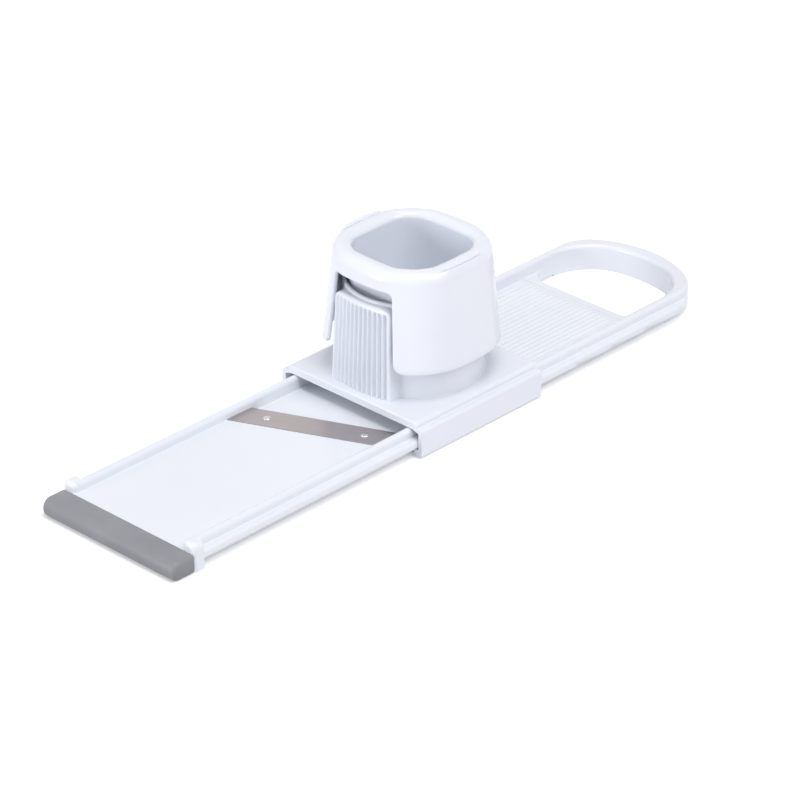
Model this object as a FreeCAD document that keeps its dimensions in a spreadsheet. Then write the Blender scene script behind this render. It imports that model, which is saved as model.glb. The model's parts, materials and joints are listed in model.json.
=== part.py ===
"""Mandoline slicer with a sliding food holder, in millimetres.

The slicer lies flat with +Z up and +X towards the loop handle. The origin is under the middle of
the frame, on the surface that the slicer rests on.
"""
import FreeCAD, Part
import math
import os
import Sketcher
from FreeCAD import Vector

# Driving sizes: name, value and what it measures
SIZES = [
    ("length_all", 276.5, "front of the end grip to the end of the loop"),
    ("bed_half", 26.0, "half width of the bed between the rails"),
    ("bead_wide", 3.0, "upper bead of a rail, across"),
    ("flange_wide", 2.9, "lower bead of a rail, beyond the upper one"),
    ("bed_level", 7.0, "top of the run-out bed"),
    ("rail_rise", 3.2, "rail above the bed"),
    ("flange_deep", 3.5, "lower bead, height"),
    ("bead_round", 1.4, "rounding of the upper bead"),
    ("flange_round", 1.2, "rounding of the lower bead"),
    ("bed_thick", 2.6, "run-out bed, thickness"),
    ("bite", 1.0, "depth by which joined walls of one moulding run into each other"),
    ("loop_wall", 6.3, "end wall of the loop handle"),
    ("loop_round", 39.9, "outer end arc of the loop"),
    ("loop_corner", 15.6, "outer corner of the loop"),
    ("hole_round", 60.0, "inner end arc of the loop"),
    ("hole_corner", 20.0, "inner corner of the loop"),
    ("flange_back", 4.5, "end of the lower bead, short of the end of the loop"),
    ("flange_arc", 51.3, "end arc of the lower bead"),
    ("flange_corner", 17.5, "corner of the lower bead, where it runs into the loop"),
    ("arm_low", 1.0, "underside of the rails above the table"),
    ("heel_long", 26.0, "deeper end of the loop that reaches the table"),
    ("heel_round", 1.8, "lower outer edge of the deeper end"),
    ("block_long", 4.6, "end block that stops the carriage, along the rail"),
    ("block_rise", 0.4, "end block above the rail"),
    ("block_round", 2.4, "top rounding of the end block"),
    ("block_edge", 1.6, "front edge of the end block above the grip"),
    ("apron_thick", 2.4, "cross wall under the front of the bed"),
    ("grip_deep", 9.6, "end grip, front to back"),
    ("grip_top_round", 3.4, "top front rounding of the end grip"),
    ("grip_low_round", 2.8, "lower front rounding of the end grip"),
    ("grip_end_round", 1.2, "rounding of the two ends of the grip"),
    ("tongue_long", 5.0, "tongue of the frame inside the end grip"),
    ("tongue_thick", 2.8, "tongue thickness"),
    ("tongue_low", 2.0, "underside of the tongue"),
    ("tongue_half", 28.0, "half width of the tongue"),
    ("seat_clear", 0.1, "clearance of pieces that seat in each other"),
    ("blade_centre", -39.8, "blade centre line where it crosses the middle of the bed"),
    ("blade_along", 11.7, "blade width measured along the bed"),
    ("blade_slope", 0.447, "blade slant: run along the bed for each step across it"),
    ("blade_thick", 0.7, "blade thickness"),
    ("blade_proud", 0.2, "blade above the bed"),
    ("blade_bevel", 0.5, "ground edge under the cutting side"),
    ("blade_seat", 7.8, "support under the blade, along the bed"),
    ("rivet_reach", 16.45, "rivet from the middle of the bed, across"),
    ("rivet_shank", 1.2, "rivet shank radius"),
    ("rivet_head", 1.5, "rivet head radius"),
    ("rivet_rise", 0.3, "rivet head above the blade"),
    ("rivet_tail", 1.7, "formed tail radius under the seat"),
    ("tail_deep", 0.8, "formed tail height"),
    ("throat_gap", 2.6, "opening between the cutting edge and the feed plate, along the bed"),
    ("slice_drop", 1.5, "feed plate below the run-out bed"),
    ("plate_thick", 2.2, "feed plate thickness"),
    ("plate_rear", 94.75, "rear edge of the feed plate"),
    ("bar_wide", 3.0, "cross bar behind the feed plate"),
    ("bar_corner", 9.0, "corner radius where the cross bar meets a rail"),
    ("ledge_wide", 3.0, "ledge under the side of the feed plate"),
    ("ledge_thick", 2.0, "ledge thickness"),
    ("rib_pitch", 2.3, "spacing of the fine ribs"),
    ("rib_base", 1.3, "rib width at its foot"),
    ("rib_crest", 0.5, "rib width at its top"),
    ("rib_rise", 0.5, "rib height"),
    ("rib_front", -8.0, "front end of the ribs"),
    ("rib_margin", 1.5, "smooth strip behind the ribs"),
    ("notch_first", 59.75, "step of the first rim notch under the lower bead"),
    ("notch_pitch", 18.8, "spacing of the rim notches"),
    ("notch_step", 1.6, "height of a rim notch at its step"),
    ("run_clear", 0.3, "running clearance of the carriage on the rails"),
    ("sled_centre", 8.35, "carriage and tube axis from the middle of the frame"),
    ("sled_long", 61.4, "carriage along the rails"),
    ("sled_thick", 2.8, "carriage plate"),
    ("skirt_wall", 1.5, "carriage skirt"),
    ("skirt_low", 0.5, "underside of the carriage skirt"),
    ("shoulder_drop", 2.2, "shoulder of the carriage below its top"),
    ("shoulder_wide", 2.7, "shoulder of the carriage, across"),
    ("hook_reach", 1.9, "hook under the lower bead"),
    ("sled_round", 1.5, "top edges of the carriage"),
    ("shoulder_round", 1.0, "shoulder edges of the carriage"),
    ("sled_end_round", 0.6, "front and rear edges of the carriage"),
    ("tube_bore", 22.9, "food tube bore radius"),
    ("tube_base", 25.6, "food tube outside radius at the carriage"),
    ("tube_rim", 24.3, "food tube outside radius at its rim"),
    ("tube_tall", 35.2, "food tube above the carriage"),
    ("spigot_wall", 1.7, "spigot of the tube inside the carriage"),
    ("panel_half", 14.3, "half width of a ribbed panel"),
    ("panel_reach", 28.0, "front of a ribbed panel from the tube axis"),
    ("panel_bow", 2.0, "bulge of a ribbed panel"),
    ("panel_root", 18.4, "back of a ribbed panel from the tube axis"),
    ("panel_tall", 34.2, "ribbed panel above the carriage"),
    ("panel_edge_round", 1.6, "upright and top edges of a ribbed panel"),
    ("panel_corner_round", 3.0, "top corners of a ribbed panel"),
    ("flute_pitch", 2.2, "spacing of the flutes in a panel"),
    ("flute_round", 0.7, "flute radius"),
    ("flute_tall", 33.0, "flute height"),
    ("skirt_gap", 11.7, "pusher skirt above the carriage, as photographed"),
    ("cap_tall", 37.0, "pusher from skirt to lip"),
    ("skirt_half", 29.5, "half width of the pusher at the skirt"),
    ("skirt_corner", 25.5, "plan corner of the pusher at the skirt"),
    ("cap_half", 25.8, "half width of the pusher at the lip, before rounding"),
    ("cap_wall", 1.6, "pusher wall"),
    ("cap_round", 4.0, "rounded lip of the pusher"),
    ("lip_thick", 4.2, "lip of the pusher above the tube"),
    ("well_half", 18.0, "half width of the finger well"),
    ("well_corner", 11.0, "plan corner of the finger well"),
    ("well_wall", 1.4, "wall of the finger well"),
    ("well_round", 1.8, "rounded mouth of the finger well"),
    ("well_deep", 37.2, "finger well, lip to spike plate"),
    ("cut_half", 13.4, "half width at the top of the cut-out round a panel"),
    ("cut_low_half", 16.0, "half width at the foot of the cut-out"),
    ("cut_tall", 29.5, "cut-out above the pusher skirt"),
    ("cut_round", 2.5, "top corners of the cut-out"),
    ("cut_flare", 4.0, "rounded lower corners of the skirt beside a cut-out"),
    ("ledge_half", 10.5, "half length of a side ledge on the lip"),
    ("ledge_drop", 1.1, "side ledge below the lip"),
    ("ledge_in", 3.7, "inner side of a ledge, from the widest line of the lip"),
    ("disc_clear", 0.4, "clearance of the spike plate in the tube"),
    ("disc_thick", 2.4, "spike plate"),
    ("plug_tall", 3.0, "plug of the spike plate inside the finger well"),
    ("pin_radius", 0.9, "holding pin radius"),
    ("pin_head", 1.5, "holding pin head radius"),
    ("head_tall", 0.8, "holding pin head height"),
    ("pin_reach", 5.2, "holding pin below the spike plate"),
    ("point_tall", 2.4, "pointed part of a holding pin"),
    ("point_flat", 0.15, "radius left at the tip of a holding pin"),
    ("fit_clear", 0.02, "clearance of pins and rivets in their holes"),
    ("outer_ring", 13.6, "radius of the outer ring of pins"),
    ("inner_ring", 6.4, "radius of the inner ring of pins"),
]
# How often each feature repeats
RIB_COUNT = 21
FLUTE_COUNT = 12
NOTCH_COUNT = 3
OUTER_PINS = 8
INNER_PINS = 4
# Least volume that a cut takes, and the most that a level edge rises
LEAST_CUT = 0.01
FLAT = 0.001

doc = FreeCAD.newDocument("mandoline_slicer")
sheet = doc.addObject("Spreadsheet::Sheet", "sizes")
for row, (name, value, note) in enumerate(SIZES, 1):
    sheet.set(f"A{row}", name)
    sheet.set(f"B{row}", str(value))
    sheet.setAlias(f"B{row}", name)
    sheet.set(f"C{row}", note)
doc.recompute()


class Size:
    """A length that keeps its number beside the sheet expression that gives it."""

    def __init__(self, value, text):
        self.value = value
        self.text = text

    def join(self, other, sign, value):
        return Size(value, f"({self.text} {sign} {as_size(other).text})")

    def __add__(self, other):
        return self.join(other, "+", self.value + as_size(other).value)

    def __sub__(self, other):
        return self.join(other, "-", self.value - as_size(other).value)

    def __mul__(self, other):
        return self.join(other, "*", self.value * as_size(other).value)

    def __truediv__(self, other):
        return self.join(other, "/", self.value / as_size(other).value)

    def __neg__(self):
        return Size(-self.value, f"(0 - {self.text})")


def as_size(number):
    """A plain count or factor, or a Size as it is."""
    return number if isinstance(number, Size) else Size(float(number), repr(float(number)))


def root(size):
    return Size(math.sqrt(size.value), f"sqrt({size.text})")


def size(name):
    """The sheet's value of one driving size."""
    return Size(float(sheet.get(name)), f"sizes.{name}")


ZERO = as_size(0)


def bind(thing, path, length):
    thing.setExpression(path, length.text)


def new_body(label):
    body = doc.addObject("PartDesign::Body", label)
    body.Label = label
    return body


def origin_plane(body, role):
    return next(item for item in body.Origin.OriginFeatures if item.Role == role)


def new_sketch(body, name, role, level=ZERO):
    """A sketch on an origin plane of its body, moved to a level along X, Y or Z."""
    sketch = body.newObject("Sketcher::SketchObject", name)
    sketch.AttachmentSupport = [(origin_plane(body, role), "")]
    sketch.MapMode = "FlatFace"
    bind(sketch, "AttachmentOffset.Base.z", -level if role == "XZ_Plane" else level)
    return sketch


def hold(sketch, kind, *places, length):
    """One dimension of a sketch, bound to the sheet."""
    index = sketch.addConstraint(Sketcher.Constraint(kind, *places, length.value))
    bind(sketch, f"Constraints[{index}]", length)


def hold_point(sketch, geometry, place, across, up):
    hold(sketch, "DistanceX", -1, 1, geometry, place, length=across)
    hold(sketch, "DistanceY", -1, 1, geometry, place, length=up)


def draw_profile(sketch, corners):
    """A closed outline of straight runs; a corner is (x, y) or, where it is rounded, (x, y, radius)."""
    corners = [tuple(as_size(item) for item in corner) for corner in corners]
    spots = [Vector(corner[0].value, corner[1].value, 0) for corner in corners]
    count = len(corners)
    enter, leave, bends = list(spots), list(spots), {}
    for i, corner in enumerate(corners):
        if len(corner) == 3:
            back = (spots[i - 1] - spots[i]).normalize()
            ahead = (spots[(i + 1) % count] - spots[i]).normalize()
            half = back.getAngle(ahead) / 2
            radius = corner[2].value
            enter[i] = spots[i] + back * (radius / math.tan(half))
            leave[i] = spots[i] + ahead * (radius / math.tan(half))
            centre = spots[i] + (back + ahead).normalize() * (radius / math.sin(half))
            bends[i] = (centre, radius, back.cross(ahead).z < 0)
    runs = []
    for i in range(count):
        runs.append(sketch.addGeometry(Part.LineSegment(leave[i], enter[(i + 1) % count])))
    for i, corner in enumerate(corners):
        before, after = runs[i - 1], runs[i]
        if i not in bends:
            sketch.addConstraint(Sketcher.Constraint("Coincident", before, 2, after, 1))
            hold_point(sketch, after, 1, corner[0], corner[1])
            continue
        centre, radius, left_turn = bends[i]
        first, last = (enter[i], leave[i]) if left_turn else (leave[i], enter[i])
        angles = [math.atan2(spot.y - centre.y, spot.x - centre.x) for spot in (first, last)]
        circle = Part.Circle(centre, Vector(0, 0, 1), radius)
        arc = sketch.addGeometry(Part.ArcOfCircle(circle, *angles))
        sketch.addConstraint(Sketcher.Constraint("Tangent", before, 2, arc, 1 if left_turn else 2))
        sketch.addConstraint(Sketcher.Constraint("Tangent", arc, 2 if left_turn else 1, after, 1))
        hold(sketch, "Radius", arc, length=corner[2])
        mark = sketch.addGeometry(Part.Point(spots[i]), True)
        hold_point(sketch, mark, 1, corner[0], corner[1])
        sketch.addConstraint(Sketcher.Constraint("PointOnObject", mark, 1, before))
        sketch.addConstraint(Sketcher.Constraint("PointOnObject", mark, 1, after))


def draw_box(sketch, left, right, low, high):
    draw_profile(sketch, [(left, low), (right, low), (right, high), (left, high)])


def draw_rounded_square(sketch, half, corner):
    draw_profile(sketch, [(-half, -half, corner), (half, -half, corner),
                          (half, half, corner), (-half, half, corner)])


def draw_circle(sketch, across, up, radius):
    shape = Part.Circle(Vector(across.value, up.value, 0), Vector(0, 0, 1), radius.value)
    circle = sketch.addGeometry(shape)
    hold(sketch, "Radius", circle, length=radius)
    hold_point(sketch, circle, 3, across, up)


def pad(body, sketch, length, draft=ZERO):
    """Material from a sketch along its normal, drawn in by the draft: a step for each unit of rise."""
    feature = body.newObject("PartDesign::Pad", sketch.Name + "_pad")
    feature.Profile = sketch
    bind(feature, "Length", length)
    feature.setExpression("TaperAngle", f"0 deg - atan({draft.text})")
    doc.recompute()
    return feature


def cut(body, sketch, length, forward, draft=ZERO):
    """Material taken away from a sketch, along its normal or against it, with the same draft."""
    before = body.Shape.Volume
    feature = body.newObject("PartDesign::Pocket", sketch.Name + "_cut")
    feature.Profile = sketch
    feature.Reversed = forward
    bind(feature, "Length", length)
    feature.setExpression("TaperAngle", f"0 deg - atan({draft.text})")
    doc.recompute()
    if body.Shape.Volume > before - LEAST_CUT:
        raise RuntimeError(f"{sketch.Name} cuts nothing")
    return feature


def revolve(body, sketch):
    feature = body.newObject("PartDesign::Revolution", sketch.Name + "_turned")
    feature.Profile = sketch
    feature.ReferenceAxis = (sketch, ["V_Axis"])
    doc.recompute()
    return feature


def mirror(body, originals, role):
    feature = body.newObject("PartDesign::Mirrored", originals[-1].Name + "_mirrored")
    feature.Originals = originals
    feature.MirrorPlane = (origin_plane(body, role), [""])
    body.Tip = feature
    doc.recompute()
    return feature


def dress(body, kind, name, amount, wanted):
    """A fillet or chamfer on every edge of the body that the test picks by its middle and box."""
    edges = []
    for index, edge in enumerate(body.Shape.Edges, 1):
        if wanted(edge.valueAt((edge.FirstParameter + edge.LastParameter) / 2), edge.BoundBox):
            edges.append(f"Edge{index}")
    if not edges:
        raise RuntimeError(f"{name} finds no edge")
    base = body.Tip
    feature = body.newObject(f"PartDesign::{kind}", name)
    feature.Base = (base, edges)
    bind(feature, "Radius" if kind == "Fillet" else "Size", amount)
    body.Tip = feature
    doc.recompute()
    return feature


def near(number, length, slack=0.02):
    return abs(number - length.value) < slack


# Levels and lines that several pieces share
front = -size("length_all") / 2
rail_front = front + size("grip_deep")
rail_start = rail_front + size("block_long") / 2
rail_face = size("bed_half") + size("bead_wide")
rail_out = rail_face + size("flange_wide")
rail_top = size("bed_level") + size("rail_rise")
flange_top = size("bed_level")
flange_low = flange_top - size("flange_deep")
bed_low = size("bed_level") - size("bed_thick")
root_half = size("bed_half") + size("bite")
blade_front = size("blade_centre") - size("blade_along") / 2
blade_rear = size("blade_centre") + size("blade_along") / 2
blade_top = size("bed_level") + size("blade_proud")
blade_low = blade_top - size("blade_thick")
seat_rear = blade_front + size("blade_seat")
plate_front = blade_rear + size("throat_gap")
plate_top = size("bed_level") - size("slice_drop")
plate_low = plate_top - size("plate_thick")
bar_front = size("plate_rear") + size("seat_clear")
bar_rear = bar_front + size("bar_wide")
rivet_hole = size("rivet_shank") + size("fit_clear")
loop_end = size("length_all") / 2
hole_end = loop_end - size("loop_wall")
sled_roof = rail_top + size("run_clear")
sled_top = sled_roof + size("sled_thick")
spigot_out = size("tube_bore") + size("spigot_wall")
tube_top = sled_top + size("tube_tall")
cap_low = sled_top + size("skirt_gap")
cap_top = cap_low + size("cap_tall")
lip_low = cap_top - size("lip_thick")
well_low = cap_top - size("well_deep")
disc_low = well_low - size("disc_thick")
plug_top = well_low + size("plug_tall")


def slanted(line, across):
    """Where a line parallel to the blade stands at a distance across the bed."""
    return line - size("blade_slope") * across


# Slicer frame: one moulding with rails, bed, ledges, end blocks and loop
frame = new_body("slicer_frame")


def draw_loop(sketch, half, end, end_round, corner):
    """Plan from inside the end blocks round the loop: arm, corner, end arc, corner, arm and front."""
    across, bend, big = half.value, corner.value, end_round.value
    swing = math.asin((across - bend) / (big - bend))
    centre = end - end_round
    corner_x = centre.value + (big - bend) * math.cos(swing)
    start = rail_start.value
    up = Vector(0, 0, 1)
    near_corner = Part.Circle(Vector(corner_x, bend - across, 0), up, bend)
    end_circle = Part.Circle(Vector(centre.value, 0, 0), up, big)
    far_corner = Part.Circle(Vector(corner_x, across - bend, 0), up, bend)
    sketch.addGeometry(Part.LineSegment(Vector(start, -across, 0), Vector(corner_x, -across, 0)))
    sketch.addGeometry(Part.ArcOfCircle(near_corner, -math.pi / 2, -swing))
    sketch.addGeometry(Part.ArcOfCircle(end_circle, -swing, swing))
    sketch.addGeometry(Part.ArcOfCircle(far_corner, swing, math.pi / 2))
    sketch.addGeometry(Part.LineSegment(Vector(corner_x, across, 0), Vector(start, across, 0)))
    sketch.addGeometry(Part.LineSegment(Vector(start, across, 0), Vector(start, -across, 0)))
    for piece in range(4):
        sketch.addConstraint(Sketcher.Constraint("Tangent", piece, 2, piece + 1, 1))
    sketch.addConstraint(Sketcher.Constraint("Coincident", 4, 2, 5, 1))
    sketch.addConstraint(Sketcher.Constraint("Coincident", 5, 2, 0, 1))
    sketch.addConstraint(Sketcher.Constraint("Horizontal", 0))
    sketch.addConstraint(Sketcher.Constraint("Horizontal", 4))
    hold_point(sketch, 0, 1, rail_start, -half)
    hold_point(sketch, 5, 1, rail_start, half)
    hold(sketch, "Radius", 1, length=corner)
    hold(sketch, "Radius", 3, length=corner)
    hold(sketch, "Radius", 2, length=end_round)
    hold_point(sketch, 2, 3, centre, ZERO)


# The lower bead dies out in the corners of the loop, where the wall of the loop gets thicker
lower_bead = new_sketch(frame, "lower_bead", "XY_Plane", flange_low)
draw_loop(lower_bead, rail_out, loop_end - size("flange_back"), size("flange_arc"),
          size("flange_corner"))
pad(frame, lower_bead, size("flange_deep"))
dress(frame, "Fillet", "lower_bead_edges", size("flange_round"),
      lambda mid, box: box.ZLength < FLAT and not near(mid.x, rail_start))
rail_wall = new_sketch(frame, "rail_wall", "XY_Plane")
draw_loop(rail_wall, rail_face, loop_end, size("loop_round"), size("loop_corner"))
pad(frame, rail_wall, rail_top)
hole = new_sketch(frame, "hole", "XY_Plane")
draw_loop(hole, size("bed_half"), hole_end, size("hole_round"), size("hole_corner"))
cut(frame, hole, rail_top, True)
dress(frame, "Fillet", "upper_bead_edges", size("bead_round"),
      lambda mid, box: near(mid.z, rail_top) and not near(mid.x, rail_start))

# Only the end of the loop and the front reach down to the table
heel_front = loop_end - size("heel_long")
arm_relief = new_sketch(frame, "arm_relief", "XY_Plane")
draw_box(arm_relief, rail_start, heel_front, -rail_out, rail_out)
cut(frame, arm_relief, size("arm_low"), True)
dress(frame, "Fillet", "heel_edges", size("heel_round"),
      lambda mid, box: near(mid.z, ZERO) and box.XLength > FLAT
      and (near(box.XMax, loop_end) or near(max(-box.YMin, box.YMax), rail_face)))

# End blocks with rounded tops stop the carriage at the front
block = new_sketch(frame, "block", "YZ_Plane", rail_front)
block_top = rail_top + size("block_rise")
draw_profile(block, [
    (-rail_out, 0),
    (-size("bed_half"), 0),
    (-size("bed_half"), block_top, size("block_round")),
    (-rail_out, block_top, size("block_round")),
])
block_pad = pad(frame, block, size("block_long"))
mirror(frame, [block_pad], "XZ_Plane")
dress(frame, "Fillet", "block_edges", size("block_edge"),
      lambda mid, box: near(mid.x, rail_front) and mid.z > FLAT)

# Run-out bed, ending in a slanted edge under the blade
bed = new_sketch(frame, "bed", "XY_Plane", bed_low)
draw_profile(bed, [
    (rail_front, -root_half),
    (slanted(seat_rear, -root_half), -root_half),
    (slanted(seat_rear, root_half), root_half),
    (rail_front, root_half),
])
pad(frame, bed, size("bed_thick"))
apron = new_sketch(frame, "apron", "XY_Plane")
draw_box(apron, rail_front, rail_front + size("apron_thick"), -root_half, root_half)
pad(frame, apron, bed_low + size("bite"))

# Shallow seat for the blade and the holes for its rivets
blade_seat = new_sketch(frame, "blade_seat", "XY_Plane", blade_low)
seat_front = blade_front - size("seat_clear")
draw_profile(blade_seat, [
    (slanted(seat_front, -size("bed_half")), -size("bed_half")),
    (slanted(blade_rear, -size("bed_half")), -size("bed_half")),
    (slanted(blade_rear, size("bed_half")), size("bed_half")),
    (slanted(seat_front, size("bed_half")), size("bed_half")),
])
cut(frame, blade_seat, size("blade_thick"), True)
rivet_places = [
    (slanted(size("blade_centre"), -size("rivet_reach")), -size("rivet_reach")),
    (slanted(size("blade_centre"), size("rivet_reach")), size("rivet_reach")),
]
rivet_holes = new_sketch(frame, "rivet_holes", "XY_Plane", bed_low)
for along, across in rivet_places:
    draw_circle(rivet_holes, along, across, rivet_hole)
cut(frame, rivet_holes, size("bed_thick"), True)

# Ledges at both sides and a cross bar at the back carry the feed plate
ledges = new_sketch(frame, "ledges", "XY_Plane", plate_low - size("ledge_thick"))
ledge_in = size("bed_half") - size("ledge_wide")
draw_box(ledges, slanted(seat_rear, -root_half), bar_rear, -root_half, -ledge_in)
draw_box(ledges, slanted(seat_rear, root_half), bar_rear, ledge_in, root_half)
pad(frame, ledges, size("ledge_thick"))
bar = new_sketch(frame, "bar", "XY_Plane", plate_low - size("ledge_thick"))
bar_tail = bar_rear + size("bar_corner")
draw_profile(bar, [
    (bar_front, -root_half),
    (bar_tail, -root_half),
    (bar_tail, -size("bed_half")),
    (bar_rear, -size("bed_half"), size("bar_corner") - size("seat_clear")),
    (bar_rear, size("bed_half"), size("bar_corner") - size("seat_clear")),
    (bar_tail, size("bed_half")),
    (bar_tail, root_half),
    (bar_front, root_half),
])
pad(frame, bar, size("ledge_thick") + size("plate_thick"))

# Tongue that holds the end grip
tongue = new_sketch(frame, "tongue", "XY_Plane", size("tongue_low"))
draw_box(tongue, rail_front - size("tongue_long"), rail_front + size("bite"),
         -size("tongue_half"), size("tongue_half"))
pad(frame, tongue, size("tongue_thick"))

# Saw-tooth notches under both lower beads catch the rim of a bowl
notches = new_sketch(frame, "notches", "XZ_Plane", rail_out)
notch_floor = flange_low - size("bite")
for index in range(NOTCH_COUNT):
    step = size("notch_first") + size("notch_pitch") * index
    draw_profile(notches, [
        (step, notch_floor),
        (step + size("notch_pitch"), notch_floor),
        (step + size("notch_pitch"), flange_low),
        (step, flange_low + size("notch_step")),
    ])
far_notches = cut(frame, notches, size("flange_wide"), True)
mirror(frame, [far_notches], "XZ_Plane")

# End grip: an elastomer bar pushed over the tongue
grip = new_body("end_grip")
grip_profile = new_sketch(grip, "grip_profile", "XZ_Plane", rail_out)
draw_profile(grip_profile, [
    (rail_front, 0),
    (rail_front, size("bed_level")),
    (front, size("bed_level"), size("grip_top_round")),
    (front, 0, size("grip_low_round")),
])
pad(grip, grip_profile, rail_out * 2)
dress(grip, "Fillet", "grip_ends", size("grip_end_round"),
      lambda mid, box: near(abs(mid.y), rail_out) and not near(mid.x, rail_front))
grip_slot = new_sketch(grip, "grip_slot", "YZ_Plane", rail_front)
slot_half = size("tongue_half") + size("seat_clear")
draw_box(grip_slot, -slot_half, slot_half, size("tongue_low") - size("seat_clear"),
         size("tongue_low") + size("tongue_thick") + size("seat_clear"))
cut(grip, grip_slot, size("tongue_long") + size("seat_clear"), False)

# Blade: a slanted strip with two rivet holes and a ground edge
blade = new_body("blade")
blade_half = size("bed_half") - size("seat_clear")
blade_outline = new_sketch(blade, "blade_outline", "XY_Plane", blade_low)
draw_profile(blade_outline, [
    (slanted(blade_front, -blade_half), -blade_half),
    (slanted(blade_rear, -blade_half), -blade_half),
    (slanted(blade_rear, blade_half), blade_half),
    (slanted(blade_front, blade_half), blade_half),
])
for along, across in rivet_places:
    draw_circle(blade_outline, along, across, rivet_hole)
pad(blade, blade_outline, size("blade_thick"))
dress(blade, "Chamfer", "blade_edge", size("blade_bevel"),
      lambda mid, box: near(mid.z, blade_low) and near(mid.x, blade_rear) and near(mid.y, ZERO))

# Rivets that clamp the blade to its seat
for label, (along, across) in zip(("blade_rivet_near", "blade_rivet_far"), rivet_places):
    rivet = new_body(label)
    rivet_profile = new_sketch(rivet, label + "_profile", "XZ_Plane")
    rivet_top = blade_top + size("rivet_rise")
    draw_profile(rivet_profile, [
        (0, bed_low - size("tail_deep")),
        (size("rivet_tail"), bed_low - size("tail_deep")),
        (size("rivet_tail"), bed_low),
        (size("rivet_shank"), bed_low),
        (size("rivet_shank"), blade_top),
        (size("rivet_head"), blade_top),
        (size("rivet_head") - size("rivet_rise"), rivet_top),
        (0, rivet_top),
    ])
    revolve(rivet, rivet_profile)
    bind(rivet, "Placement.Base.x", along)
    bind(rivet, "Placement.Base.y", across)

# Feed plate with fine ribs along the stroke
plate = new_body("feed_plate")
plate_half = size("bed_half") - size("seat_clear")
plate_outline = new_sketch(plate, "plate_outline", "XY_Plane", plate_low)
draw_profile(plate_outline, [
    (slanted(plate_front, -plate_half), -plate_half),
    (size("plate_rear"), -plate_half),
    (size("plate_rear"), plate_half),
    (slanted(plate_front, plate_half), plate_half),
])
pad(plate, plate_outline, size("plate_thick"))
rib = new_sketch(plate, "rib", "YZ_Plane", size("rib_front"))
rib_span = size("rib_pitch") * (RIB_COUNT - 1)
rib_middle = -rib_span / 2
rib_foot = plate_top - size("rib_rise") / 2
draw_profile(rib, [
    (rib_middle - size("rib_base") / 2, rib_foot),
    (rib_middle + size("rib_base") / 2, rib_foot),
    (rib_middle + size("rib_base") / 2, plate_top),
    (rib_middle + size("rib_crest") / 2, plate_top + size("rib_rise")),
    (rib_middle - size("rib_crest") / 2, plate_top + size("rib_rise")),
    (rib_middle - size("rib_base") / 2, plate_top),
])
rib_pad = pad(plate, rib, size("plate_rear") - size("rib_margin") - size("rib_front"))
ribs = plate.newObject("PartDesign::LinearPattern", "ribs")
ribs.Originals = [rib_pad]
ribs.Direction = (origin_plane(plate, "Y_Axis"), [""])
ribs.Occurrences = RIB_COUNT
bind(ribs, "Length", rib_span)
plate.Tip = ribs
doc.recompute()

# Sled carriage: a stepped plate whose skirts hook under the lower beads
sled = new_body("sled_carriage")
skirt_in = rail_out + size("run_clear")
skirt_out = skirt_in + size("skirt_wall")
shoulder_in = skirt_out - size("shoulder_wide")
shoulder_top = sled_top - size("shoulder_drop")
hook_in = skirt_in - size("hook_reach")
hook_top = flange_low - size("run_clear")
wall_top = shoulder_top - size("skirt_wall")
roof_half = rail_face + size("run_clear")
half_section = [
    (hook_in, size("skirt_low")),
    (skirt_out, size("skirt_low"), size("shoulder_round")),
    (skirt_out, shoulder_top, size("shoulder_round")),
    (shoulder_in, shoulder_top),
    (shoulder_in, sled_top, size("sled_round")),
]
inner_section = [
    (-roof_half, sled_roof),
    (roof_half, sled_roof),
    (skirt_in, wall_top),
    (skirt_in, hook_top),
    (hook_in, hook_top),
]
other_half = [(-corner[0],) + tuple(corner[1:]) for corner in reversed(half_section)]
other_inner = [(-skirt_in, wall_top), (-skirt_in, hook_top), (-hook_in, hook_top)]
sled_section = new_sketch(sled, "sled_section", "YZ_Plane", -size("sled_long") / 2)
draw_profile(sled_section, half_section + other_half + other_inner[::-1] + inner_section)
pad(sled, sled_section, size("sled_long"))
tube_seat = new_sketch(sled, "tube_seat", "XY_Plane", sled_roof)
draw_circle(tube_seat, ZERO, ZERO, spigot_out + size("fit_clear"))
cut(sled, tube_seat, size("sled_thick"), True)
dress(sled, "Fillet", "sled_ends", size("sled_end_round"),
      lambda mid, box: near(abs(mid.x), size("sled_long") / 2) and near(mid.z, sled_top))
bind(sled, "Placement.Base.x", size("sled_centre"))

# Food tube: a slightly tapered round tube with a fluted panel at the front and at the back
tube = new_body("food_tube")
tube_profile = new_sketch(tube, "tube_profile", "XZ_Plane")
draw_profile(tube_profile, [
    (0, sled_roof),
    (spigot_out, sled_roof),
    (spigot_out, sled_top),
    (size("tube_base"), sled_top),
    (size("tube_rim"), tube_top),
    (0, tube_top),
])
revolve(tube, tube_profile)
panel = new_sketch(tube, "panel", "XY_Plane", sled_top)
bow = size("panel_bow")
bow_round = (size("panel_half") * size("panel_half") + bow * bow) / (bow * 2)
bow_centre = bow_round - size("panel_reach")
panel_side = size("panel_reach") - bow


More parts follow.
